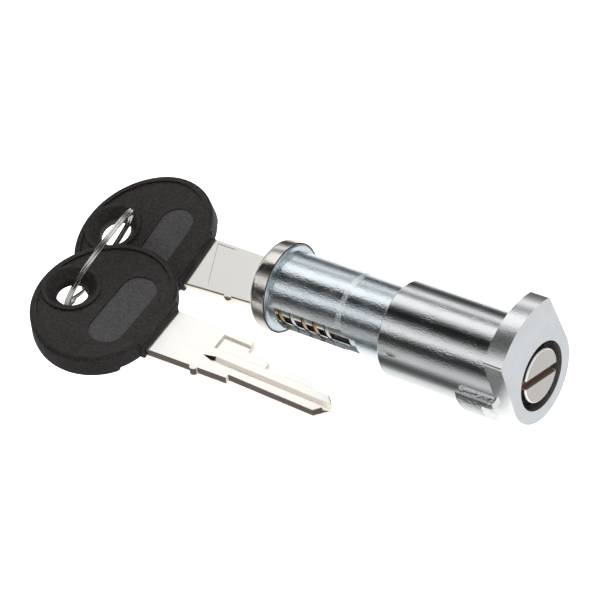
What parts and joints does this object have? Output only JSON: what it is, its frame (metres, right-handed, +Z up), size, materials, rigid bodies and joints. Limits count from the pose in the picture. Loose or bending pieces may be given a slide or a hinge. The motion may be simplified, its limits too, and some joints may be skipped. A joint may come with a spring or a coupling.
{
  "type": "cylinder lock",
  "caption": "Wafer lock cylinder lying on its side, one key standing in its plug and another on a split ring; turning the key turns the plated sleeve and its cam.",
  "frame": {"origin": "on the lock's axis, at the open end of the cam sleeve", "axes": "+X along the lock's axis, from the keys toward the cam; +Z up as the lock lies on a table; -Y the side that the wafer window faces"},
  "size_m": [0.1053, 0.0523, 0.0255],
  "materials": {
    "zinc": "satin bluish zinc plate on die-cast zinc",
    "polished_stainless": "polished stainless",
    "plug_zinc": "plain die-cast zinc",
    "plated_sleeve": "bright chrome plate",
    "screw_steel": "nickel-plated steel",
    "washer_steel": "spring steel",
    "key_nickel": "satin nickel plate on brass",
    "bow_plastic": "fine-grained black plastic",
    "ring_steel": "bright nickel-plated spring steel",
    "wafer_brass": "stamped brass",
    "wafer_steel": "stamped steel",
    "spring_steel": "drawn wire"
  },
  "bodies": {
    "shell": {"lock_shell": "zinc", "head_cap": "polished_stainless"},
    "plug": {"plug": "plug_zinc", "cam_sleeve": "plated_sleeve", "cam_screw": "screw_steel", "lock_washer": "washer_steel", "wafer_spring_1": "spring_steel", "wafer_spring_2": "spring_steel", "wafer_spring_3": "spring_steel", "wafer_spring_4": "spring_steel", "wafer_spring_5": "spring_steel"},
    "key_1": {"key_1_blade": "key_nickel", "key_1_bow": "bow_plastic"},
    "key_ring": {"key_ring": "ring_steel"},
    "key_2": {"key_2_blade": "key_nickel", "key_2_bow": "bow_plastic"},
    "wafer_1": {"wafer_1": "wafer_brass"},
    "wafer_2": {"wafer_2": "wafer_steel"},
    "wafer_3": {"wafer_3": "wafer_brass"},
    "wafer_4": {"wafer_4": "wafer_brass"},
    "wafer_5": {"wafer_5": "wafer_steel"}
  },
  "joints": [
    {"name": "plug_turn", "type": "hinge", "parent": "shell", "child": "plug", "pos_m": [0, 0, 0], "axis": [1, 0, 0], "range_deg": [0, 90]},
    {"name": "key_1_slide", "type": "slide", "parent": "plug", "child": "key_1", "axis": [-1, 0, 0], "range_m": [0, 0.03]},
    {"name": "key_ring_turn", "type": "hinge", "parent": "key_1", "child": "key_ring", "pos_m": [-0.06399, -0.01144, 0.00072], "axis": [0.8555, 0.1751, -0.4873], "range_deg": [0, 24]},
    {"name": "key_2_swing", "type": "hinge", "parent": "key_ring", "child": "key_2", "pos_m": [-0.06112, -0.02378, -0.00031], "axis": [-0.1271, 0.2265, -0.9657], "range_deg": [0, 90]},
    {"name": "wafer_1_slide", "type": "slide", "parent": "plug", "child": "wafer_1", "axis": [0, -0.9135, -0.4067], "range_m": [0, 0.0006], "deforming": ["wafer_spring_1"]},
    {"name": "wafer_2_slide", "type": "slide", "parent": "plug", "child": "wafer_2", "axis": [0, -0.9135, -0.4067], "range_m": [0, 0.0006], "deforming": ["wafer_spring_2"]},
    {"name": "wafer_3_slide", "type": "slide", "parent": "plug", "child": "wafer_3", "axis": [0, -0.9135, -0.4067], "range_m": [0, 0.0006], "deforming": ["wafer_spring_3"]},
    {"name": "wafer_4_slide", "type": "slide", "parent": "plug", "child": "wafer_4", "axis": [0, -0.9135, -0.4067], "range_m": [0, 0.0006], "deforming": ["wafer_spring_4"]},
    {"name": "wafer_5_slide", "type": "slide", "parent": "plug", "child": "wafer_5", "axis": [0, -0.9135, -0.4067], "range_m": [0, 0.0006], "deforming": ["wafer_spring_5"]}
  ],
  "couplings": [
    {"joint": "wafer_1_slide", "follows": "key_1_slide", "ratio": 0.02},
    {"joint": "wafer_2_slide", "follows": "key_1_slide", "ratio": 0.02},
    {"joint": "wafer_3_slide", "follows": "key_1_slide", "ratio": 0.02},
    {"joint": "wafer_4_slide", "follows": "key_1_slide", "ratio": 0.02},
    {"joint": "wafer_5_slide", "follows": "key_1_slide", "ratio": 0.02}
  ]
}
